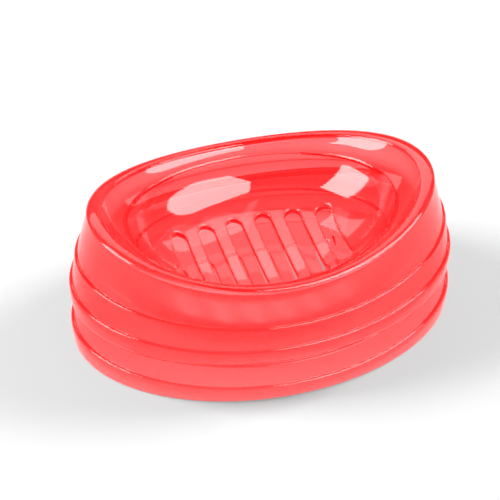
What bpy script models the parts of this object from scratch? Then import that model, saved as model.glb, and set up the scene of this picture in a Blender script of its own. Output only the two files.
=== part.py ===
"""Two oval soap dishes, one nested on the other.

Each dish is one thin moulding: a stepped outer wall that stands on its own
bottom edge, a rounded rim that rises towards both ends, a hollow shoulder that
slopes inwards from the rim, and a smooth basin whose floor has six drain slots.
The lower dish stands on the table, and the upper one stands with its foot round
the lower one's wall, so it lifts straight off.

Metres, +Z up, X along the dish's length. The origin is on the table, under the
middle of the pair.
"""
from math import acos, cos, hypot, pi, radians, sin, sqrt, tan

import bmesh
import bpy

# Oval foot
FOOT_HALF_LENGTH = 0.0700
FOOT_HALF_WIDTH = 0.0481
FOOT_WALL = 0.00155
FOOT_EDGE_RADIUS = 0.0004

# Rim, in the middle of a long side and at the two ends, where its crest is higher
RIM_HEIGHT_SIDE = 0.0290
RIM_HEIGHT_END = 0.0384
RIM_INSET_SIDE = 0.0051
RIM_INSET_END = 0.0069
RIM_WIDTH_SIDE = 0.0038
RIM_WIDTH_END = 0.0057
RIM_OUTER_DROP = 0.0017
RIM_LIP_DROP = 0.0011

# Upper ledge of the outer wall
UPPER_LEDGE_HEIGHT_SIDE = 0.0148
UPPER_LEDGE_HEIGHT_END = 0.0198
UPPER_LEDGE_INSET_SIDE = 0.0013
UPPER_LEDGE_INSET_END = 0.0021

# Lower ledge of the outer wall, and the belly below it
LOWER_LEDGE_HEIGHT_SIDE = 0.0061
LOWER_LEDGE_HEIGHT_END = 0.0086
LOWER_LEDGE_BULGE = 0.0002
BELLY_BULGE = 0.0005
BELLY_DEPTH = 0.0018

# Step in the wall at both ledges
LEDGE_STEP = 0.0009
LEDGE_DROP = 0.0009

# Thickness of the walls and the floor, and of the solid rim over the groove's roof
WALL = 0.0020
RIM_DEPTH = 0.0027

# Shoulder, from the rim's lip to the mouth of the basin
MOUTH_INSET_SIDE = 0.0033
MOUTH_INSET_END = 0.0086
MOUTH_DROP_SIDE = 0.0020
MOUTH_DROP_END = 0.0075
SHOULDER_HOLLOW = radians(24.0)
MOUTH_RADIUS = 0.0015

# Basin
BASIN_RADIUS_SIDE = 0.0225
BASIN_RADIUS_END = 0.0280
BASIN_DRAFT = radians(20.0)
FLOOR_HEIGHT = 0.0100
FLOOR_SLOPE = radians(2.6)

# Drain slots
SLOT_COUNT = 6
SLOT_PITCH = 0.01095
SLOT_WIDTH = 0.0058
SLOT_EDGE_RADIUS = 0.0008
SLOT_FIELD_HALF_LENGTH = 0.0430
SLOT_FIELD_HALF_WIDTH = 0.0196
SLOT_OVERRUN = 0.0020

# Nesting
SEAT_GAP = 0.0003

# Fineness of the faceted shapes
SEGMENTS = 72
RIM_STEPS = 6
SHOULDER_STEPS = 3
MOUTH_STEPS = 2
BASIN_STEPS = 8
FLOOR_STEPS = 3
FLOOR_EYE_SHARE = 0.10
SLOT_END_STEPS = 8
SLOT_EDGE_STEPS = 3
SEARCH_SHARE = 0.1


# Sections of the moulding. A section is a list of (distance from centre, height) points.

def side_sizes():
    """Sizes of the section through the middle of a long side."""
    return {
        "span": FOOT_HALF_WIDTH,
        "rim_height": RIM_HEIGHT_SIDE, "rim_inset": RIM_INSET_SIDE, "rim_width": RIM_WIDTH_SIDE,
        "upper_height": UPPER_LEDGE_HEIGHT_SIDE, "upper_inset": UPPER_LEDGE_INSET_SIDE,
        "lower_height": LOWER_LEDGE_HEIGHT_SIDE, "basin_radius": BASIN_RADIUS_SIDE,
        "mouth_inset": MOUTH_INSET_SIDE, "mouth_drop": MOUTH_DROP_SIDE,
    }


def end_sizes():
    """Sizes of the section through an end."""
    return {
        "span": FOOT_HALF_LENGTH,
        "rim_height": RIM_HEIGHT_END, "rim_inset": RIM_INSET_END, "rim_width": RIM_WIDTH_END,
        "upper_height": UPPER_LEDGE_HEIGHT_END, "upper_inset": UPPER_LEDGE_INSET_END,
        "lower_height": LOWER_LEDGE_HEIGHT_END, "basin_radius": BASIN_RADIUS_END,
        "mouth_inset": MOUTH_INSET_END, "mouth_drop": MOUTH_DROP_END,
    }


def ledge_points(shoulder_x, corner_z):
    """Rounded shoulder, flat step and inner corner of one ledge."""
    return [
        (shoulder_x, corner_z - LEDGE_DROP),
        (shoulder_x - LEDGE_STEP / 3, corner_z - LEDGE_DROP / 3),
        (shoulder_x - LEDGE_STEP, corner_z),
    ]


def wall_points(sizes):
    """Outer wall from the foot's flat edge to the inner corner of the upper ledge."""
    span = sizes["span"]
    lower_shoulder = span + LOWER_LEDGE_BULGE
    upper_shoulder = span - sizes["upper_inset"]
    belly_height = sizes["lower_height"] - BELLY_DEPTH
    return [
        (span - FOOT_EDGE_RADIUS, 0.0),
        (span, FOOT_EDGE_RADIUS),
        (span + BELLY_BULGE, belly_height),
        *ledge_points(lower_shoulder, sizes["lower_height"]),
        *ledge_points(upper_shoulder, sizes["upper_height"]),
    ]


def rim_points(sizes):
    """Round top of the rim, from the head of the outer wall to the bowl's lip."""
    half_width = sizes["rim_width"] / 2
    middle = sizes["span"] - sizes["rim_inset"] - half_width
    points = []
    for step in range(RIM_STEPS + 1):
        angle = pi * step / RIM_STEPS
        drop = RIM_OUTER_DROP if angle < pi / 2 else RIM_LIP_DROP
        points.append((middle + half_width * cos(angle), sizes["rim_height"] - drop * (1 - sin(angle))))
    return points


def unit(start, end):
    """Direction from one point to another, one unit long."""
    length = hypot(end[0] - start[0], end[1] - start[1])
    return (end[0] - start[0]) / length, (end[1] - start[1]) / length


def mouth_point(sizes):
    """Sharp corner between the shoulder and the basin's wall."""
    lip_x, lip_z = rim_points(sizes)[-1]
    return lip_x - sizes["mouth_inset"], lip_z - sizes["mouth_drop"]


def shoulder_corner(sizes):
    """Corner of the two lines on which the hollow shoulder leaves the lip and meets the mouth."""
    lip_x, lip_z = rim_points(sizes)[-1]
    inset, drop = sizes["mouth_inset"], sizes["mouth_drop"]
    sag = tan(SHOULDER_HOLLOW / 2) / 2
    return lip_x - inset / 2 + drop * sag, lip_z - drop / 2 - inset * sag


def shoulder_points(sizes):
    """Hollow shoulder between the lip and the mouth, without these two."""
    lip, corner, mouth = rim_points(sizes)[-1], shoulder_corner(sizes), mouth_point(sizes)
    points = []
    for step in range(1, SHOULDER_STEPS):
        share = step / SHOULDER_STEPS
        before, middle, after = (1 - share) ** 2, 2 * share * (1 - share), share ** 2
        points.append((before * lip[0] + middle * corner[0] + after * mouth[0],
                       before * lip[1] + middle * corner[1] + after * mouth[1]))
    return points


def basin_points(sizes, extra):
    """Basin from its wall to the middle of the floor; the underside has a greater radius."""
    mouth_x, mouth_z = mouth_point(sizes)
    lean = tan(BASIN_DRAFT)
    turn = pi / 2 - BASIN_DRAFT - FLOOR_SLOPE
    reach = sizes["basin_radius"] * tan(turn / 2)
    # The floor is a shallow curve that leaves the basin's arc at the floor's slope
    rise = FLOOR_SLOPE / 2 * (mouth_x - mouth_z * lean - reach * cos(FLOOR_SLOPE))
    corner_z = (FLOOR_HEIGHT + rise + reach * sin(FLOOR_SLOPE)) / (1 - FLOOR_SLOPE / 2 * lean)
    corner_x = mouth_x - (mouth_z - corner_z) * lean
    centre_x = corner_x + reach * sin(BASIN_DRAFT) - sizes["basin_radius"] * cos(BASIN_DRAFT)
    centre_z = corner_z + reach * cos(BASIN_DRAFT) + sizes["basin_radius"] * sin(BASIN_DRAFT)
    radius = sizes["basin_radius"] + extra
    points = []
    for step in range(BASIN_STEPS + 1):
        angle = BASIN_DRAFT + turn * step / BASIN_STEPS
        points.append((centre_x + radius * cos(angle), centre_z - radius * sin(angle)))
    edge_x, edge_z = points[-1]
    middle = FLOOR_HEIGHT - extra
    for step in range(1, FLOOR_STEPS + 1):
        share = 1 - (1 - FLOOR_EYE_SHARE) * step / FLOOR_STEPS
        points.append((edge_x * share, middle + (edge_z - middle) * share ** 2))
    return points


def mouth_points(sizes, basin_start):
    """Rounded corner between the shoulder and the basin's wall."""
    mouth = mouth_point(sizes)
    to_lip = unit(mouth, shoulder_corner(sizes))
    to_basin = unit(mouth, basin_start)
    half_angle = acos(to_lip[0] * to_basin[0] + to_lip[1] * to_basin[1]) / 2
    reach = MOUTH_RADIUS / tan(half_angle)
    points = []
    for step in range(MOUTH_STEPS + 1):
        share = step / MOUTH_STEPS
        up, down = reach * (1 - share) ** 2, reach * share ** 2
        points.append((mouth[0] + to_lip[0] * up + to_basin[0] * down,
                       mouth[1] + to_lip[1] * up + to_basin[1] * down))
    return points


def groove_points(sizes, ledge):
    """Underside of the shoulder and roof of the groove, from the basin outwards."""
    lip_x, lip_z = rim_points(sizes)[-1]
    head_x, head_z = rim_points(sizes)[0]
    mouth_x, mouth_z = mouth_point(sizes)
    slope = sizes["mouth_drop"] / sizes["mouth_inset"]
    lean = tan(BASIN_DRAFT)
    # Lines that run one wall's thickness behind the shoulder and behind the basin's wall
    shoulder_line = lip_z - WALL * hypot(1.0, slope) - lip_x * slope
    basin_line = mouth_x + WALL / cos(BASIN_DRAFT) - mouth_z * lean
    corner_x = (basin_line + shoulder_line * lean) / (1 - slope * lean)
    roof = sizes["rim_height"] - RIM_DEPTH
    wall_lean = (ledge[0] - head_x) / (head_z - ledge[1])
    return [
        (corner_x, shoulder_line + corner_x * slope),
        ((roof - shoulder_line) / slope, roof),
        (head_x - WALL + (head_z - roof) * wall_lean, roof),
    ]


def section(sizes):
    """The skin, from the foot over the rim to the floor, and the underside back to the foot."""
    wall = wall_points(sizes)
    rim = rim_points(sizes)
    basin = basin_points(sizes, 0.0)
    skin = wall + rim + shoulder_points(sizes) + mouth_points(sizes, basin[0]) + basin
    inner_foot = sizes["span"] - FOOT_WALL
    inside = [
        (wall[-1][0] - WALL, wall[-1][1]),
        (inner_foot, FOOT_EDGE_RADIUS),
        (inner_foot + FOOT_EDGE_RADIUS / 2, 0.0),
    ]
    under = basin_points(sizes, WALL)[::-1] + groove_points(sizes, wall[-1]) + inside
    return skin, under


# Nesting rise

def gap_between(points, path):
    """Least distance from any of the points to the path's runs."""
    least = FOOT_HALF_LENGTH
    for px, pz in points:
        for (ax, az), (bx, bz) in zip(path, path[1:]):
            run = (bx - ax) ** 2 + (bz - az) ** 2
            share = max(0.0, min(1.0, ((px - ax) * (bx - ax) + (pz - az) * (bz - az)) / run))
            least = min(least, hypot(px - ax - share * (bx - ax), pz - az - share * (bz - az)))
    return least


def rise_is_clear(rise):
    """True when an upper dish that is this much higher clears the lower one all round."""
    for sizes in (side_sizes(), end_sizes()):
        skin, under = section(sizes)
        lifted = [(x, z + rise) for x, z in under]
        if min(gap_between(lifted, skin), gap_between(skin, lifted)) < SEAT_GAP:
            return False
    return True


def nesting_rise():
    """Least height at which the upper dish's foot seats round the lower dish's wall."""
    rise = RIM_HEIGHT_END
    for step in (SEAT_GAP, SEAT_GAP * SEARCH_SHARE):
        while rise_is_clear(rise - step):
            rise -= step
    return rise


# Solids

def ring(bm, side_point, end_point):
    """Oval loop through one point of the side section and one of the end section."""
    loop = []
    for i in range(SEGMENTS):
        angle = 2 * pi * i / SEGMENTS
        height = side_point[1] + (end_point[1] - side_point[1]) * cos(angle) ** 2
        loop.append(bm.verts.new((end_point[0] * cos(angle), side_point[0] * sin(angle), height)))
    return loop


def join_loops(bm, loops):
    """Closed body of the loops, one after the other, with a face over the first and the last."""
    for a, b in zip(loops, loops[1:]):
        for i in range(len(a)):
            j = (i + 1) % len(a)
            bm.faces.new((a[i], a[j], b[j], b[i]))
    bm.faces.new(loops[0][::-1])
    bm.faces.new(loops[-1])
    bmesh.ops.recalc_face_normals(bm, faces=bm.faces)


def finish_mesh(bm, name):
    mesh = bpy.data.meshes.new(name)
    bm.to_mesh(mesh)
    bm.free()
    return mesh


def dish_blank():
    """The moulding without its slots, a loft between the unlike side and end sections."""
    side_skin, side_under = section(side_sizes())
    end_skin, end_under = section(end_sizes())
    bm = bmesh.new()
    pairs = zip(side_under + side_skin, end_under + end_skin)
    join_loops(bm, [ring(bm, side_point, end_point) for side_point, end_point in pairs])
    return finish_mesh(bm, "dish_blank")


def basin_height(x, y):
    """Height of the basin's skin over a place, found between the two loops beside it."""
    before = None
    basins = basin_points(side_sizes(), 0.0), basin_points(end_sizes(), 0.0)
    for (side_x, side_z), (end_x, end_z) in zip(*basins):
        scale = 1 / hypot(x / end_x, y / side_x)
        height = side_z + (end_z - side_z) * (x * scale / end_x) ** 2
        if scale < 1 and before:
            share = (before[0] - 1) / (before[0] - scale)
            return before[1] + (height - before[1]) * share
        before = scale, height
    return before[1]


def stadium_points(x, half_length, half_width):
    """Long outline with round ends, its length along Y."""
    points = []
    for end in (1, -1):
        for step in range(SLOT_END_STEPS + 1):
            angle = pi * step / SLOT_END_STEPS
            straight = half_length - half_width
            points.append((x + end * half_width * cos(angle),
                           end * (straight + half_width * sin(angle))))
    return points


def slot_centre(index):
    return (index - (SLOT_COUNT - 1) / 2) * SLOT_PITCH


def slot_half_length(x):
    """Half length of a slot, so that the slots' ends follow an oval."""
    reach = sqrt(max(0.0, 1 - (x / SLOT_FIELD_HALF_LENGTH) ** 2))
    return max(SLOT_FIELD_HALF_WIDTH * reach, SLOT_WIDTH)


def slot_cutter(index, collection):
    """Cutter of one drain slot: upright walls that flare round at the floor's top."""
    x = slot_centre(index)
    half_length = slot_half_length(x)
    levels = []
    for step in range(SLOT_EDGE_STEPS):
        angle = pi / 2 * step / SLOT_EDGE_STEPS
        levels.append((SLOT_EDGE_RADIUS * (1 - cos(angle)), SLOT_EDGE_RADIUS * (sin(angle) - 1)))
    # The last level runs on, out of the floor, the way the round edge points
    (x0, z0), (x1, z1) = levels[-2:]
    levels.append((x1 + (x1 - x0) * SLOT_OVERRUN / (z1 - z0), z1 + SLOT_OVERRUN))
    bm = bmesh.new()
    foot_outline = stadium_points(x, half_length, SLOT_WIDTH / 2)
    bottom = FLOOR_HEIGHT - WALL - SLOT_OVERRUN
    loops = [[bm.verts.new((px, py, bottom)) for px, py in foot_outline]]
    for flare, height in levels:
        outline = stadium_points(x, half_length + flare, SLOT_WIDTH / 2 + flare)
        loops.append([bm.verts.new((px, py, basin_height(px, py) + height)) for px, py in outline])
    join_loops(bm, loops)
    cutter = bpy.data.objects.new("slot_cutter_%d" % (index + 1), finish_mesh(bm, "slot_cutter"))
    cutter.display_type = "WIRE"
    cutter.hide_render = True
    collection.objects.link(cutter)
    return cutter


def cut_dish(blank, cutters, collection):
    """The blank with its slots cut out."""
    work = bpy.data.objects.new("dish_work", blank)
    collection.objects.link(work)
    for cutter in cutters:
        cut = work.modifiers.new(cutter.name, "BOOLEAN")
        cut.operation = "DIFFERENCE"
        cut.solver = "EXACT"
        cut.object = cutter
    bpy.context.view_layer.update()
    evaluated = work.evaluated_get(bpy.context.evaluated_depsgraph_get())
    mesh = bpy.data.meshes.new_from_object(evaluated)
    bpy.data.objects.remove(work)
    mesh.shade_smooth()
    mesh.set_sharp_from_angle(angle=radians(35.0))
    return mesh


def tinted_plastic(name):
    """Glossy see-through coral plastic."""
    material = bpy.data.materials.new(name)
    material.use_nodes = True
    shader = material.node_tree.nodes["Principled BSDF"]
    shader.inputs["Base Color"].default_value = (1.0, 0.07, 0.08, 1.0)
    shader.inputs["Roughness"].default_value = 0.08
    shader.inputs["Metallic"].default_value = 0.0
    shader.inputs["IOR"].default_value = 1.49
    shader.inputs["Transmission Weight"].default_value = 0.85
    return material


def make_collection(name):
    collection = bpy.data.collections.new(name)
    bpy.context.scene.collection.children.link(collection)
    return collection


def place_dish(name, mesh, height, collection):
    """One whole dish, its origin in the middle of its foot, on the axis that it lifts along."""
    dish = bpy.data.objects.new(name, mesh.copy())
    dish.data.materials.append(tinted_plastic(name + "_plastic"))
    dish.location = (0.0, 0.0, height)
    collection.objects.link(dish)


def main():
    for old in list(bpy.data.objects):
        bpy.data.objects.remove(old)
    parts = make_collection("soap_dish")
    cutter_box = make_collection("cutters")
    cutters = [slot_cutter(index, cutter_box) for index in range(SLOT_COUNT)]
    mesh = cut_dish(dish_blank(), cutters, cutter_box)
    rise = nesting_rise()
    print("The upper dish stands %.2f mm above the table" % (rise * 1000))
    place_dish("lower_dish", mesh, 0.0, parts)
    place_dish("upper_dish", mesh, rise, parts)


main()
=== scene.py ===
# %% [markdown]
# # Two nested soap dishes of see-through plastic
#
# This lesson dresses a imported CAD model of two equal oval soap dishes, one nested on the
# other. Each dish is one thin injection moulding of glossy, see-through coral plastic: a
# stepped outer wall, a rounded rim that rises towards both ends, and a bowl whose floor has
# six drain slots. The CAD solids have the right sizes but few faces, and a polished,
# see-through object shows every facet. So each dish is made again here, finer, by the same
# rule, and stands for its CAD solid.
#
# Everything is in metres, X along the dish, Z up.

# %% Load the frame
from math import atan2, cos, hypot, pi, radians, sin, sqrt, tan

import bmesh
import bpy
from mathutils import Matrix, Vector


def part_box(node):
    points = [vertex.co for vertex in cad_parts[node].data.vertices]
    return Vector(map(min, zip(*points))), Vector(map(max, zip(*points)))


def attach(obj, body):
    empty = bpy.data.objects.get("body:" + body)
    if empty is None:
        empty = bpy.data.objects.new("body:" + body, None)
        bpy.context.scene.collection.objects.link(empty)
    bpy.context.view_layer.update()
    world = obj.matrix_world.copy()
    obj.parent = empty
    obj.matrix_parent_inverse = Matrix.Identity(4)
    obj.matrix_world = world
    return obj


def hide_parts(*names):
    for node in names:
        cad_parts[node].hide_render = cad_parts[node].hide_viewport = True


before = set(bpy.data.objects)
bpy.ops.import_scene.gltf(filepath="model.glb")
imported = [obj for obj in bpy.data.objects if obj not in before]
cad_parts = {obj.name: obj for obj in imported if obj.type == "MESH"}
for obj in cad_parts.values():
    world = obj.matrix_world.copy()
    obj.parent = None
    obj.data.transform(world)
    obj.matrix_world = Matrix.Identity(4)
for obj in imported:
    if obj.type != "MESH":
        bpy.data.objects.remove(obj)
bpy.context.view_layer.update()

scene = bpy.context.scene

# %% [markdown]
# ## Sizes
#
# The foot is an oval. All other ovals of the dish lie inside it, and each is named by where
# it passes the middle of a long side ("side") and where it passes an end ("end"). These are
# the sizes that the CAD source uses too, so both could be drawn from one list. The overall
# size and the height of the upper dish are asked of the CAD model itself.

# %% Sizes of one dish
lower_low, lower_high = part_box("lower_dish")
upper_low, upper_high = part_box("upper_dish")
NEST_RISE = upper_low.z - lower_low.z

BELLY_BULGE = 0.0005
SIDE = {
    "span": lower_high.y - BELLY_BULGE,
    "rim_height": 0.0290, "rim_inset": 0.0051, "rim_width": 0.0038,
    "upper_height": 0.0148, "upper_inset": 0.0013, "lower_height": 0.0061,
    "mouth_inset": 0.0033, "mouth_drop": 0.0020, "basin_radius": 0.0225,
}
END = {
    "span": lower_high.x - BELLY_BULGE,
    "rim_height": 0.0384, "rim_inset": 0.0069, "rim_width": 0.0057,
    "upper_height": 0.0198, "upper_inset": 0.0021, "lower_height": 0.0086,
    "mouth_inset": 0.0086, "mouth_drop": 0.0075, "basin_radius": 0.0280,
}
WALL = 0.0020
print("Nest rise %.2f mm" % (NEST_RISE * 1000))

# %% [markdown]
# ## Sections with soft corners
#
# A mould maker breaks every corner, and on clear plastic those small radii are what the eye
# sees: each one draws a bright or a dark line round the dish. A bevel modifier could round
# the edges of a finished mesh, but it would make other points at the side than at the end.
# So a section is written as a few corners, each with a radius, and a helper turns every
# corner into a short arc. Both sections then have the same number of points, and can be
# joined point for point.

# %% Corner helper
CORNER_STEPS = 6


def unit(start, end):
    """Direction from one point to another, one unit long."""
    length = hypot(end[0] - start[0], end[1] - start[1])
    return (end[0] - start[0]) / length, (end[1] - start[1]) / length


def softened(corners):
    """Turn (x, z, radius) corners into points; each inner corner becomes an arc."""
    points = [corners[0][:2]]
    for before, corner, after in zip(corners, corners[1:], corners[2:]):
        to_before = unit(corner, before)
        to_after = unit(corner, after)
        cosine = max(-1.0, min(1.0, to_before[0] * to_after[0] + to_before[1] * to_after[1]))
        half_angle = atan2(sqrt(1 - cosine * cosine), cosine) / 2
        reach = corner[2] / tan(half_angle)
        start = (corner[0] + to_before[0] * reach, corner[1] + to_before[1] * reach)
        end = (corner[0] + to_after[0] * reach, corner[1] + to_after[1] * reach)
        for step in range(CORNER_STEPS + 1):
            t = step / CORNER_STEPS
            a, b, c = (1 - t) ** 2, 2 * t * (1 - t), t ** 2
            points.append((a * start[0] + b * corner[0] + c * end[0],
                           a * start[1] + b * corner[1] + c * end[1]))
    points.append(corners[-1][:2])
    return points


# %% [markdown]
# ## Outer wall
#
# The wall stands on a flat foot, swells into a low belly and steps in twice. Each ledge has
# a soft outer edge, which draws the broad light line, and a crisp inner corner, which draws
# the thin dark one. The rim's round top ends the wall, so its rule comes here too.

# %% Outer wall and the round top of the rim
FOOT_WALL = 0.00155
FOOT_INSET = 0.00005
FOOT_EDGE_RADIUS = 0.0004
BELLY_DEPTH = 0.0018
BELLY_RADIUS = 0.0050
BELLY_OVERSHOOT = 1.09
LOWER_LEDGE_BULGE = 0.0002
LEDGE_STEP = 0.0009
LEDGE_DROP = 0.000315
LEDGE_OUTER_RADIUS = 0.00100
LEDGE_INNER_RADIUS = 0.00024
RIM_OUTER_DROP = 0.0017
RIM_LIP_DROP = 0.0011


def ledge_corners(shoulder, height):
    """A ledge seen from outside: a soft shoulder, a narrow shelf and a crisp inner corner."""
    return [
        (shoulder, height - LEDGE_DROP, LEDGE_OUTER_RADIUS),
        (shoulder - LEDGE_STEP, height, LEDGE_INNER_RADIUS),
    ]


def wall_part(sizes):
    """From the foot up to the rim. The arc cuts the belly's corner, so that lies farther out."""
    span = sizes["span"]
    belly = sizes["lower_height"] - BELLY_DEPTH
    return softened([
        (span - FOOT_WALL + FOOT_EDGE_RADIUS / 2, 0.0, 0.0),
        (span - FOOT_INSET, 0.0, FOOT_EDGE_RADIUS),
        (span + BELLY_BULGE * BELLY_OVERSHOOT, belly, BELLY_RADIUS),
        *ledge_corners(span + LOWER_LEDGE_BULGE, sizes["lower_height"]),
        *ledge_corners(span - sizes["upper_inset"], sizes["upper_height"]),
        rim_point(sizes, 0.0) + (0.0,),
    ])[:-1]


def rim_point(sizes, turn):
    """Point on the round top of the rim; turn runs from 0 outside to 1 at the bowl's lip."""
    half_width = sizes["rim_width"] / 2
    middle = sizes["span"] - sizes["rim_inset"] - half_width
    angle = pi * turn
    drop = RIM_OUTER_DROP + (RIM_LIP_DROP - RIM_OUTER_DROP) * turn
    return middle + half_width * cos(angle), sizes["rim_height"] - drop * (1 - sin(angle))


# %% [markdown]
# ## Bowl
#
# Inside the rim a shoulder slopes down to the mouth of a smooth basin. Two lamps mirrored in
# the plastic tell its form. In the basin they are two large patches, so the wall turns into
# the floor in one wide curve. On the shoulder they are only two thin streaks along the rim,
# so the shoulder is hollow: steep at the rim and flatter at the mouth. The underside
# follows the basin with a radius that is greater by the wall's thickness.

# %% Basin and shoulder
BASIN_STEPS = 30
BASIN_DRAFT = radians(20.0)
FLOOR_STEPS = 20
FLOOR_HEIGHT = 0.0100
FLOOR_SLOPE = radians(2.6)
RIM_END = 0.88
LIP_RADIUS = 0.0005
SHOULDER_HOLLOW = radians(24.0)
SHOULDER_STRAIGHT = 0.0009
MOUTH_RADIUS = 0.0015


def basin_part(sizes, extra):
    """Basin wall and floor; extra is 0 for the skin and the wall's thickness for the underside."""
    lip_x, lip_z = rim_point(sizes, 1.0)
    mouth_x, mouth_z = lip_x - sizes["mouth_inset"], lip_z - sizes["mouth_drop"]
    lean = tan(BASIN_DRAFT)
    turn = pi / 2 - BASIN_DRAFT - FLOOR_SLOPE
    reach = sizes["basin_radius"] * tan(turn / 2)
    rise = FLOOR_SLOPE / 2 * (mouth_x - mouth_z * lean - reach * cos(FLOOR_SLOPE))
    corner_z = (FLOOR_HEIGHT + rise + reach * sin(FLOOR_SLOPE)) / (1 - FLOOR_SLOPE / 2 * lean)
    corner_x = mouth_x - (mouth_z - corner_z) * lean
    centre_x = corner_x + reach * sin(BASIN_DRAFT) - sizes["basin_radius"] * cos(BASIN_DRAFT)
    centre_z = corner_z + reach * cos(BASIN_DRAFT) + sizes["basin_radius"] * sin(BASIN_DRAFT)
    radius = sizes["basin_radius"] + extra
    points = []
    for step in range(BASIN_STEPS + 1):
        angle = BASIN_DRAFT + turn * step / BASIN_STEPS
        points.append((centre_x + radius * cos(angle), centre_z - radius * sin(angle)))
    edge_x, edge_z = points[-1]
    middle = FLOOR_HEIGHT - extra
    for step in range(1, FLOOR_STEPS + 1):
        share = 1 - step / FLOOR_STEPS
        points.append((edge_x * share, middle + (edge_z - middle) * share ** 2))
    return points


def shoulder_part(sizes, basin):
    """Hollow, sloping shoulder from the rim's lip to the mouth of the basin."""
    lip_x, lip_z = rim_point(sizes, 1.0)
    inset, drop = sizes["mouth_inset"], sizes["mouth_drop"]
    sag = tan(SHOULDER_HOLLOW / 2) / 2
    leg = hypot(inset, drop) / 2 / cos(SHOULDER_HOLLOW / 2)
    hollow_radius = (leg - SHOULDER_STRAIGHT) / tan(SHOULDER_HOLLOW / 2)
    return softened([
        rim_point(sizes, RIM_END) + (0.0,),
        (lip_x, lip_z, LIP_RADIUS),
        (lip_x - inset / 2 + drop * sag, lip_z - drop / 2 - inset * sag, hollow_radius),
        (lip_x - inset, lip_z - drop, MOUTH_RADIUS),
        basin[0] + (0.0,),
    ])[:-1]


# %% [markdown]
# ## Underside
#
# Nothing in the photograph shows the underside clearly. Such dishes are moulded as one skin
# of even thickness, open below, so the bowl and the outer wall meet under the rim in a
# narrow groove. The three runs of points, underside, inside and skin, close one section.

# %% Underside and the whole section
RIM_STEPS = 22
RIM_DEPTH = 0.0027
BEND_RADIUS = 0.0015
GROOVE_RADIUS = 0.00025
WALL_BEND_RADIUS = 0.0040
FOOT_INNER_RADIUS = 0.0002


def underside_part(sizes):
    """Under the floor, out and up below the shoulder, then down inside the outer wall."""
    under = basin_part(sizes, WALL)
    lip_x, lip_z = rim_point(sizes, 1.0)
    head_x, head_z = rim_point(sizes, 0.0)
    ledge_x, ledge_z = sizes["span"] - sizes["upper_inset"] - LEDGE_STEP, sizes["upper_height"]
    slope = sizes["mouth_drop"] / sizes["mouth_inset"]
    below = WALL * hypot(1.0, slope)
    lean = tan(BASIN_DRAFT)
    mouth_x = lip_x - sizes["mouth_inset"]
    mouth_z = lip_z - sizes["mouth_drop"]
    wall_line = mouth_x + WALL / cos(BASIN_DRAFT) - mouth_z * lean
    shoulder_line = lip_z - below - lip_x * slope
    corner_x = (wall_line + shoulder_line * lean) / (1 - slope * lean)
    roof = sizes["rim_height"] - RIM_DEPTH
    wall_lean = (ledge_x - head_x) / (head_z - ledge_z)
    foot_x = sizes["span"] - FOOT_WALL
    groove = softened([
        under[0] + (0.0,),
        (corner_x, shoulder_line + corner_x * slope, BEND_RADIUS),
        ((roof - shoulder_line) / slope, roof, GROOVE_RADIUS),
        (head_x - WALL + (head_z - roof) * wall_lean, roof, GROOVE_RADIUS),
        (ledge_x - WALL, ledge_z, WALL_BEND_RADIUS),
        (foot_x, FOOT_EDGE_RADIUS, FOOT_INNER_RADIUS),
        (foot_x + FOOT_EDGE_RADIUS / 2, 0.0, 0.0),
    ])[1:-1]
    return under[::-1], groove


def section(sizes):
    """One closed half section as three runs of points."""
    basin = basin_part(sizes, 0.0)
    rim = [rim_point(sizes, RIM_END * step / RIM_STEPS) for step in range(RIM_STEPS)]
    skin = wall_part(sizes) + rim + shoulder_part(sizes, basin) + basin
    under, inside = underside_part(sizes)
    return under, inside, skin


side_runs = section(SIDE)
end_runs = section(END)
run_lengths = [len(run) for run in side_runs]
assert run_lengths == [len(run) for run in end_runs]
print("Points on the underside, inside and skin", run_lengths)

# %% [markdown]
# ## Loft by rule
#
# Every point of the section runs round the dish on an ellipse, and its height swings between
# the side value and the end value with the square of the cosine. A lathe can't do that, but
# it is a rule, so Geometry Nodes can make the surface: the tree gets a grid of points, one
# row for each point of the section and one column for each step round, and sets every
# point's place by formula. The two sections come along as attributes of the grid's points.
# One more attribute marks the inside of the outer wall, which is frosted later.

# %% Grid with the sections as attributes
SEGMENTS = 288


def section_strip():
    """A grid of faces: rows along the section, columns round the dish."""
    sides = [p for run in side_runs for p in run]
    ends = [p for run in end_runs for p in run]
    rows = len(sides)
    mesh = bpy.data.meshes.new("section_strip")
    verts = [(0.0, 0.0, 0.0)] * (rows * SEGMENTS)
    faces = []
    for low in range(0, (rows - 1) * SEGMENTS, SEGMENTS):
        high = low + SEGMENTS
        for c in range(SEGMENTS):
            n = (c + 1) % SEGMENTS
            faces.append((low + c, low + n, high + n, high + c))
    mesh.from_pydata(verts, [], faces)
    values = {
        "side_reach": [p[0] for p in sides for c in range(SEGMENTS)],
        "side_height": [p[1] for p in sides for c in range(SEGMENTS)],
        "end_reach": [p[0] for p in ends for c in range(SEGMENTS)],
        "end_height": [p[1] for p in ends for c in range(SEGMENTS)],
        "turn": [2 * pi * c / SEGMENTS for r in range(rows) for c in range(SEGMENTS)],
    }
    for name, data in values.items():
        mesh.attributes.new(name, "FLOAT", "POINT").data.foreach_set("value", data)
    inside_rows = range(run_lengths[0] - 1, run_lengths[0] + run_lengths[1])
    flags = [1.0 if (i // SEGMENTS) in inside_rows else 0.0 for i in range(len(faces))]
    mesh.attributes.new("inside", "FLOAT", "FACE").data.foreach_set("value", flags)
    return mesh


strip = section_strip()
print("Strip faces", len(strip.polygons))

# %% [markdown]
# ## A small helper for node trees
#
# Node trees written out link by link are long and hard to read. Here one method makes any
# node: its type, its settings, then its inputs as values or links. A number socket is
# wrapped, so that shader and geometry maths read as plain arithmetic.

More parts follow.
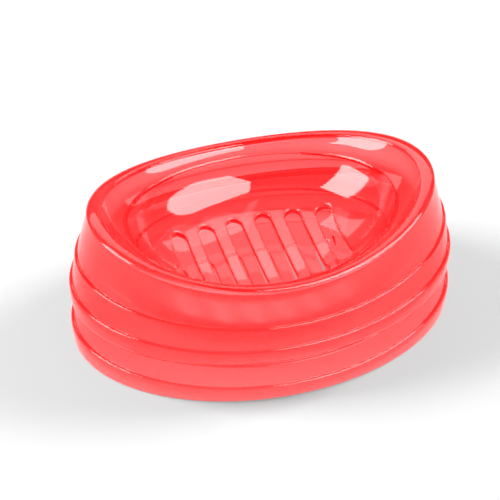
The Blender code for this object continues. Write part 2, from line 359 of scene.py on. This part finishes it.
# %% Node tree helper
class Tree:
    """Adds nodes to a geometry or shader tree in one call each."""

    def __init__(self, tree):
        self.tree = tree

    def node(self, kind, settings=None, **inputs):
        """Make a node; an input is named by its label, or by its number with an i before it."""
        made = self.tree.nodes.new(kind)
        for name, value in (settings or {}).items():
            setattr(made, name, value)
        for name, value in inputs.items():
            by_number = name[0] == "i" and name[1:].isdigit()
            socket = made.inputs[int(name[1:]) if by_number else name.replace("_", " ")]
            if isinstance(value, bpy.types.NodeSocket):
                self.tree.links.new(value, socket)
            elif isinstance(value, Value):
                self.tree.links.new(value.socket, socket)
            else:
                socket.default_value = value
        return made

    def value(self, socket):
        return Value(self, socket)

    def attribute(self, name):
        made = self.node("GeometryNodeInputNamedAttribute", {"data_type": "FLOAT"}, Name=name)
        return self.value(made.outputs["Attribute"])


class Value:
    """A number socket that can be used in plain arithmetic."""

    def __init__(self, tree, socket):
        self.tree = tree
        self.socket = socket

    def math(self, operation, *others):
        made = self.tree.tree.nodes.new("ShaderNodeMath")
        made.operation = operation
        for slot, item in zip(made.inputs, (self,) + others):
            if isinstance(item, Value):
                self.tree.tree.links.new(item.socket, slot)
            else:
                slot.default_value = item
        return Value(self.tree, made.outputs[0])

    def __add__(self, other):
        return self.math("ADD", other)

    def __sub__(self, other):
        return self.math("SUBTRACT", other)

    def __rsub__(self, other):
        return self.math("MULTIPLY", -1.0).math("ADD", other)

    def __mul__(self, other):
        return self.math("MULTIPLY", other)

    def __truediv__(self, other):
        return self.math("DIVIDE", other)

    __radd__ = __add__
    __rmul__ = __mul__


# %% [markdown]
# ## Slot cutters by rule
#
# The six drain slots repeat along the dish, their ends follow an oval, and their top edges
# are rounded where they meet the dished floor. Six cutters could be modelled one by one, but
# they obey one rule. So one short cutter with round ends is copied along X in Geometry
# Nodes. Then the tree pulls its two ends apart as far as the oval allows at that place, and
# lifts every point with the floor, so that the rounded edge stays the same all round.

# %% Cutter blank
SLOT_COUNT = 6
SLOT_PITCH = 0.01095
SLOT_WIDTH = 0.0058
SLOT_EDGE_RADIUS = 0.0008
SLOT_FIELD_HALF_LENGTH = 0.0430
SLOT_FIELD_HALF_WIDTH = 0.0196
SLOT_OVERRUN = 0.0020
SLOT_TOP = 0.0005
SLOT_END_STEPS = 20
SLOT_EDGE_STEPS = 9
SLOT_SIDE_STEPS = 12


def cutter_blank():
    """Cutter for a slot of no length; the attribute ends says how far each point moves along Y."""
    half_width = SLOT_WIDTH / 2
    levels = [(0.0, -WALL - SLOT_OVERRUN)]
    for step in range(SLOT_EDGE_STEPS):
        angle = pi / 2 * step / SLOT_EDGE_STEPS
        levels.append((SLOT_EDGE_RADIUS * (1 - cos(angle)), SLOT_EDGE_RADIUS * (sin(angle) - 1)))
    (x0, z0), (x1, z1) = levels[-2:]
    levels.append((x1 + (x1 - x0) * SLOT_TOP / (z1 - z0), z1 + SLOT_TOP))
    bm = bmesh.new()
    ends = bm.verts.layers.float.new("ends")
    loops = []
    for flare, height in levels:
        loop = []
        radius = half_width + flare
        for end in (1, -1):
            for step in range(SLOT_END_STEPS + 1):
                angle = pi * step / SLOT_END_STEPS
                vert = bm.verts.new((end * radius * cos(angle), end * radius * sin(angle), height))
                vert[ends] = end
                loop.append(vert)
            for step in range(1, SLOT_SIDE_STEPS):
                vert = bm.verts.new((-end * radius, 0.0, height))
                vert[ends] = end * (1 - 2 * step / SLOT_SIDE_STEPS)
                loop.append(vert)
        loops.append(loop)
    for a, b in zip(loops, loops[1:]):
        for i in range(len(a)):
            j = (i + 1) % len(a)
            bm.faces.new((a[i], a[j], b[j], b[i]))
    bm.faces.new(loops[0][::-1])
    bm.faces.new(loops[-1])
    mesh = bpy.data.meshes.new("cutter_blank")
    bm.to_mesh(mesh)
    bm.free()
    return mesh


blank_object = bpy.data.objects.new("slot_cutter_blank", cutter_blank())
blank_object.hide_render = True
scene.collection.objects.link(blank_object)

# %% [markdown]
# ## One tree for both dishes
#
# The two dishes are the same moulding, so one tree makes both, and only its input Lift
# differs. It lofts the strip, lays out the slots, drops them on the floor with a ray cast
# from above, cuts them, and gives the result its material.

# %% Dish tree
SKY_HEIGHT = 0.1
MERGE_DISTANCE = 0.000001
SCRATCH = ("side_reach", "side_height", "end_reach", "end_height", "turn", "ends", "slot_centre")


def dish_tree(plastic):
    """Geometry Nodes tree: loft the strip by rule, then cut the slots."""
    group = bpy.data.node_groups.new("nested_dish", "GeometryNodeTree")
    group.interface.new_socket("Geometry", in_out="INPUT", socket_type="NodeSocketGeometry")
    count = group.interface.new_socket("Slot Count", in_out="INPUT", socket_type="NodeSocketInt")
    pitch = group.interface.new_socket("Slot Pitch", in_out="INPUT", socket_type="NodeSocketFloat")
    lift = group.interface.new_socket("Lift", in_out="INPUT", socket_type="NodeSocketFloat")
    group.interface.new_socket("Geometry", in_out="OUTPUT", socket_type="NodeSocketGeometry")
    t = Tree(group)
    given = group.nodes.new("NodeGroupInput")
    turn = t.attribute("turn")
    round_x, round_y = turn.math("COSINE"), turn.math("SINE")
    side_height, end_height = t.attribute("side_height"), t.attribute("end_height")
    height = side_height + (end_height - side_height) * round_x * round_x
    place = t.node("ShaderNodeCombineXYZ", X=t.attribute("end_reach") * round_x,
                   Y=t.attribute("side_reach") * round_y, Z=height)
    lofted = t.node("GeometryNodeSetPosition", Geometry=given.outputs["Geometry"],
                    Position=place.outputs[0])
    closed = t.node("GeometryNodeMergeByDistance", Geometry=lofted.outputs[0],
                    Distance=MERGE_DISTANCE)

    gaps = t.value(given.outputs["Slot Count"]) - 1
    start = gaps * t.value(given.outputs["Slot Pitch"]) * -0.5
    first = t.node("ShaderNodeCombineXYZ", X=start)
    step = t.node("ShaderNodeCombineXYZ", X=given.outputs["Slot Pitch"])
    row = t.node("GeometryNodeMeshLine", {"mode": "OFFSET"}, Count=given.outputs["Slot Count"],
                 Start_Location=first.outputs[0], Offset=step.outputs[0])
    blank = t.node("GeometryNodeObjectInfo", {"transform_space": "ORIGINAL"}, Object=blank_object)
    copies = t.node("GeometryNodeInstanceOnPoints", Points=row.outputs[0],
                    Instance=blank.outputs["Geometry"])
    centre = t.node("GeometryNodeInputPosition")
    stored = t.node("GeometryNodeStoreNamedAttribute",
                    {"data_type": "FLOAT_VECTOR", "domain": "INSTANCE"}, Geometry=copies.outputs[0],
                    Name="slot_centre", Value=centre.outputs[0])
    real = t.node("GeometryNodeRealizeInstances", Geometry=stored.outputs[0])
    named = t.node("GeometryNodeInputNamedAttribute", {"data_type": "FLOAT_VECTOR"},
                   Name="slot_centre")
    centre_parts = t.node("ShaderNodeSeparateXYZ", Vector=named.outputs["Attribute"])
    slot_x = t.value(centre_parts.outputs["X"])
    ratio = slot_x / SLOT_FIELD_HALF_LENGTH
    reach = (1 - ratio * ratio).math("SQRT") * SLOT_FIELD_HALF_WIDTH - SLOT_WIDTH / 2
    stretch = t.node("ShaderNodeCombineXYZ", Y=t.attribute("ends") * reach)
    long = t.node("GeometryNodeSetPosition", Geometry=real.outputs[0], Offset=stretch.outputs[0])
    here = t.node("GeometryNodeInputPosition")
    parts = t.node("ShaderNodeSeparateXYZ", Vector=here.outputs[0])
    above = t.node("ShaderNodeCombineXYZ", X=parts.outputs["X"], Y=parts.outputs["Y"], Z=SKY_HEIGHT)
    drop = t.node("GeometryNodeRaycast", Target_Geometry=closed.outputs[0],
                  Source_Position=above.outputs[0], Ray_Direction=(0.0, 0.0, -1.0),
                  Ray_Length=SKY_HEIGHT)
    landed = t.node("ShaderNodeSeparateXYZ", Vector=drop.outputs["Hit Position"])
    up = t.node("ShaderNodeCombineXYZ", Z=landed.outputs["Z"])
    seated = t.node("GeometryNodeSetPosition", Geometry=long.outputs[0], Offset=up.outputs[0])

    cut = t.node("GeometryNodeMeshBoolean", {"operation": "DIFFERENCE", "solver": "EXACT"},
                 Mesh_1=closed.outputs[0], Mesh_2=seated.outputs[0])
    rise = t.node("ShaderNodeCombineXYZ", Z=given.outputs["Lift"])
    lifted = t.node("GeometryNodeSetPosition", Geometry=cut.outputs["Mesh"], Offset=rise.outputs[0])
    smooth = t.node("GeometryNodeSetShadeSmooth", Geometry=lifted.outputs[0])
    whole = t.node("GeometryNodeRealizeInstances", Geometry=smooth.outputs[0])
    dressed = t.node("GeometryNodeSetMaterial", Geometry=whole.outputs[0], Material=plastic)
    done = group.nodes.new("NodeGroupOutput")
    group.links.new(dressed.outputs[0], done.inputs[0])
    return group, {"count": count.identifier, "pitch": pitch.identifier, "lift": lift.identifier}


def make_dish(name, lift, group, sockets):
    """Run the tree for one dish and keep the result as a plain mesh."""
    carrier = bpy.data.objects.new(name + "_carrier", strip.copy())
    scene.collection.objects.link(carrier)
    nodes = carrier.modifiers.new("dish", "NODES")
    nodes.node_group = group
    nodes[sockets["count"]] = SLOT_COUNT
    nodes[sockets["pitch"]] = SLOT_PITCH
    nodes[sockets["lift"]] = lift
    bpy.context.view_layer.update()
    evaluated = carrier.evaluated_get(bpy.context.evaluated_depsgraph_get())
    mesh = bpy.data.meshes.new_from_object(evaluated)
    bpy.data.objects.remove(carrier)
    for attribute in list(mesh.attributes):
        if attribute.name in SCRATCH:
            mesh.attributes.remove(attribute)
    dish = bpy.data.objects.new(name, mesh)
    scene.collection.objects.link(dish)
    return dish


# %% [markdown]
# ## See-through coral plastic
#
# The real plastic is clear and tinted right through, so the colour comes from the depth of
# plastic that the light crosses: thin places look coral, and edges, where the light runs
# along inside the wall, look deep red. A tinted surface can't do that. The surface is
# therefore clear, and a Volume Absorption node takes green and blue out of the light.
#
# No clear picture shows through the outer wall, so its inner faces are frosted, as a mould
# left unpolished makes them. A weak painted red glow in the plastic stands for the light that
# bounces on inside it for longer than a render follows it. Two slight noises keep it from
# being too even: a broad one in the tint and the surface, and a fine one in the gloss.

# %% Plastic material
PLASTIC_IOR = 1.49
TINT = (1.0, 0.04, 0.06, 1.0)
TINT_DENSITY = 450.0
TONE_PALE = (1.0, 0.985, 0.985, 1.0)
TONE_DEEP = (1.0, 0.93, 0.93, 1.0)
# Painted red glow: the plastic gives off red light of its own, though it is no lamp.
PAINTED_GLOW = (1.0, 0.006, 0.008, 1.0)
PAINTED_GLOW_STRENGTH = 0.34
POLISH_ROUGHNESS = 0.02
FROST_ROUGHNESS = 0.34
ROUGHNESS_SPREAD = 0.5
BROAD_SCALE = 60.0
FINE_SCALE = 900.0
RELIEF_SHARE = 0.25
RELIEF_STRENGTH = 0.03
RELIEF_DISTANCE = 0.0003


def coral_plastic():
    """Clear tinted plastic with a painted red glow, round a volume that absorbs green and blue."""
    material = bpy.data.materials.new("coral_plastic")
    material.use_nodes = True
    material.node_tree.nodes.clear()
    t = Tree(material.node_tree)
    place = t.node("ShaderNodeTexCoord").outputs["Object"]
    broad = t.node("ShaderNodeTexNoise", Vector=place, Scale=BROAD_SCALE, Detail=3.0).outputs[0]
    fine = t.node("ShaderNodeTexNoise", Vector=place, Scale=FINE_SCALE, Detail=2.0).outputs[0]
    frost = t.value(t.node("ShaderNodeAttribute", {"attribute_name": "inside"}).outputs["Fac"])
    tone = t.node("ShaderNodeMix", {"data_type": "RGBA"}, i0=broad, i6=TONE_PALE, i7=TONE_DEEP)
    uneven = t.value(fine) * ROUGHNESS_SPREAD + (1 - ROUGHNESS_SPREAD / 2)
    rough = (frost * (FROST_ROUGHNESS - POLISH_ROUGHNESS) + POLISH_ROUGHNESS) * uneven
    relief = t.value(broad) * (1.0 - frost) * RELIEF_SHARE
    bumped = t.node("ShaderNodeBump", Strength=RELIEF_STRENGTH, Distance=RELIEF_DISTANCE,
                    Height=relief)
    # The emission paints a red glow over the whole surface, though the plastic is no lamp.
    surface = t.node("ShaderNodeBsdfPrincipled", Base_Color=tone.outputs[2], Roughness=rough,
                     IOR=PLASTIC_IOR, Normal=bumped.outputs[0], Transmission_Weight=1.0,
                     Emission_Color=PAINTED_GLOW, Emission_Strength=PAINTED_GLOW_STRENGTH)
    depth = t.node("ShaderNodeVolumeAbsorption", Color=TINT, Density=TINT_DENSITY)
    t.node("ShaderNodeOutputMaterial", Surface=surface.outputs[0], Volume=depth.outputs[0])
    return material


# %% [markdown]
# ## Both dishes
#
# Each dish rides on its own body, so that the upper one lifts off, and stands for its CAD
# solid. Rays that scatter from the table pass the dishes by, because otherwise the table
# under and round them would turn a blotchy red. Through the plastic the photograph shows a
# pale table. The lamps still cast the dishes' grey shadow.

# %% Make both dishes
group, sockets = dish_tree(coral_plastic())
for node, lift in (("lower_dish", 0.0), ("upper_dish", NEST_RISE)):
    dish = make_dish(node + "_moulding", lift, group, sockets)
    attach(dish, node)
    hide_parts(node)
    dish.visible_diffuse = False
    check = bmesh.new()
    check.from_mesh(dish.data)
    open_edges = sum(1 for edge in check.edges if not edge.is_manifold)
    triangles = sum(len(face.verts) - 2 for face in check.faces)
    print(dish.name, "triangles", triangles, "open edges", open_edges,
          "volume %.2f ml" % (check.calc_volume() * 1e6))
    check.free()
bpy.data.objects.remove(blank_object)

# %% [markdown]
# ## Table and sky
#
# The photograph stands the dishes on pure white. A plain white table and an even, pale sky
# give that, and the sky also fills the plastic with soft light from every side.

# %% Table and sky
TABLE_SIZE = 6.0
TABLE_WHITE = (0.85, 0.85, 0.85, 1.0)
TABLE_ROUGHNESS = 0.9
SKY_STRENGTH = 0.36
WHITE = (1.0, 1.0, 1.0, 1.0)

bpy.ops.mesh.primitive_plane_add(size=TABLE_SIZE)
table = bpy.context.object
table.name = "table_top"
paint = bpy.data.materials.new("white_table")
paint.use_nodes = True
paint.node_tree.nodes["Principled BSDF"].inputs["Base Color"].default_value = TABLE_WHITE
paint.node_tree.nodes["Principled BSDF"].inputs["Roughness"].default_value = TABLE_ROUGHNESS
table.data.materials.append(paint)

world = bpy.data.worlds.new("studio")
world.use_nodes = True
world.node_tree.nodes["Background"].inputs["Color"].default_value = WHITE
world.node_tree.nodes["Background"].inputs["Strength"].default_value = SKY_STRENGTH
scene.world = world
scene.view_settings.view_transform = "Standard"
print("Table %.1f m wide, sky %.2f" % (TABLE_SIZE, SKY_STRENGTH))

# %% [markdown]
# ## Lamps
#
# Two soft lamps, one at each side and a little behind, lay the grey shadows at the left and
# at the lower right. They light the table only. What the plastic mirrors comes from panels,
# because their outlines can be set on their own.

# %% Lamps
LAMP_SIZE = 0.45


def area_lamp(name, place, watts):
    """A square lamp that looks at the dishes, lights the table and isn't mirrored."""
    data = bpy.data.lights.new(name, "AREA")
    data.size = LAMP_SIZE
    data.energy = watts
    lamp = bpy.data.objects.new(name, data)
    facing = (-Vector(place)).to_track_quat("-Z", "Y").to_matrix()
    lamp.matrix_world = Matrix.Translation(place) @ facing.to_4x4()
    lamp.visible_camera = False
    lamp.visible_glossy = False
    lamp.visible_transmission = False
    scene.collection.objects.link(lamp)


area_lamp("left_lamp", (-0.79, 0.30, 0.80), watts=9.4)
area_lamp("right_lamp", (0.85, 0.08, 0.80), watts=8.0)

# %% [markdown]
# ## Softboxes
#
# The two pale patches in the bowl are softboxes in the studio, mirrored in the basin. Each
# corner of a patch was followed back: from the camera to the basin, and from there in the
# mirrored direction. That gives the corners of the panels below, in metres. A third, dimmer
# panel is the bright back wall of the studio, which lights the shoulder at the back.

# %% Softboxes
LIGHT_DISTANCE = 1.3


def light_panel(name, corners, radiance):
    """A flat glowing panel that only the plastic mirrors."""
    mesh = bpy.data.meshes.new(name)
    mesh.from_pydata(corners, [], [range(len(corners))])
    panel = bpy.data.objects.new(name, mesh)
    scene.collection.objects.link(panel)
    material = bpy.data.materials.new(name)
    material.use_nodes = True
    material.node_tree.nodes.clear()
    t = Tree(material.node_tree)
    glow = t.node("ShaderNodeEmission", Color=WHITE, Strength=radiance)
    t.node("ShaderNodeOutputMaterial", Surface=glow.outputs[0])
    mesh.materials.append(material)
    panel.visible_camera = False
    panel.visible_diffuse = False
    panel.visible_shadow = False


def toward(azimuth, elevation):
    """Point at the lights' distance; azimuth is measured from +Y towards +X, in degrees."""
    flat = LIGHT_DISTANCE * cos(radians(elevation))
    return (flat * sin(radians(azimuth)), flat * cos(radians(azimuth)),
            LIGHT_DISTANCE * sin(radians(elevation)))


light_panel("round_softbox", [
    (1.075, -0.196, 0.597), (1.075, -0.407, 0.443), (0.960, -0.567, 0.425),
    (0.751, -0.803, 0.431), (0.351, -1.006, 0.625), (0.163, -0.875, 0.880),
    (0.111, -0.823, 0.962), (0.163, -0.495, 1.158), (0.455, -0.245, 1.091),
    (0.720, -0.086, 0.981), (0.883, -0.093, 0.836),
], radiance=9.5)
light_panel("square_softbox", [
    (-1.055, -0.478, 0.222), (-1.251, 0.244, 0.001),
    (-0.799, 0.203, 0.873), (-0.661, -0.325, 1.026),
], radiance=11.5)
light_panel("back_light", [toward(-35, 27), toward(60, 27), toward(60, 65), toward(-35, 65)],
            radiance=2.8)

# %% [markdown]
# ## Camera
#
# The camera was fitted to the photograph: the lines of the rim, the ledges and the foot are
# ovals of known form, and only one place and one lens put them all on the lines that show.

# %% Camera
AIM = Vector((-0.0040, 0.0011, 0.0277))
CAMERA_DISTANCE = 0.885
CAMERA_AZIMUTH = radians(16.45)
CAMERA_ELEVATION = radians(40.27)
CAMERA_ROLL = radians(0.11)
CAMERA_LENS_MM = 176.75
CAMERA_SENSOR_MM = 36.0
CAMERA_NEAR = 0.01

camera_data = bpy.data.cameras.new("photo_camera")
camera_data.lens = CAMERA_LENS_MM
camera_data.sensor_width = CAMERA_SENSOR_MM
camera_data.clip_start = CAMERA_NEAR
camera = bpy.data.objects.new("photo_camera", camera_data)
look = Vector((sin(CAMERA_AZIMUTH) * cos(CAMERA_ELEVATION),
               cos(CAMERA_AZIMUTH) * cos(CAMERA_ELEVATION), -sin(CAMERA_ELEVATION)))
turned = look.to_track_quat("-Z", "Y").to_matrix() @ Matrix.Rotation(CAMERA_ROLL, 3, "Z")
camera.matrix_world = Matrix.Translation(AIM - look * CAMERA_DISTANCE) @ turned.to_4x4()
scene.collection.objects.link(camera)
scene.camera = camera
print("Camera at", [round(v, 3) for v in camera.matrix_world.translation])
